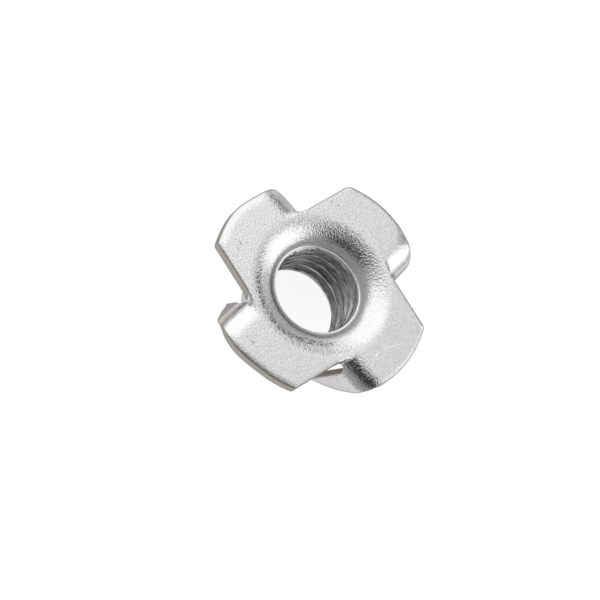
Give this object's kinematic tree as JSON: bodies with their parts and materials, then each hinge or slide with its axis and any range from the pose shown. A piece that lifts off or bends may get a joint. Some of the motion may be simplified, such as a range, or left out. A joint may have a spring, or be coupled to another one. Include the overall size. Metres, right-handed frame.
{
  "type": "tee nut",
  "caption": "Pronged tee nut: a flat round flange whose notched rim is folded down into prongs, with a short threaded barrel drawn from the same sheet.",
  "frame": {"origin": "centre of the barrel's end, on the bore's axis", "axes": "+Z along the bore's axis from the barrel's end to the flange face; +Y and +X each run through the middle of a notch in the flange's rim"},
  "size_m": [0.0222, 0.0222, 0.0085],
  "materials": {
    "zinc_plate": "satin zinc plate over pressed mild steel"
  },
  "bodies": {
    "root": {"tee_nut": "zinc_plate"}
  },
  "joints": []
}
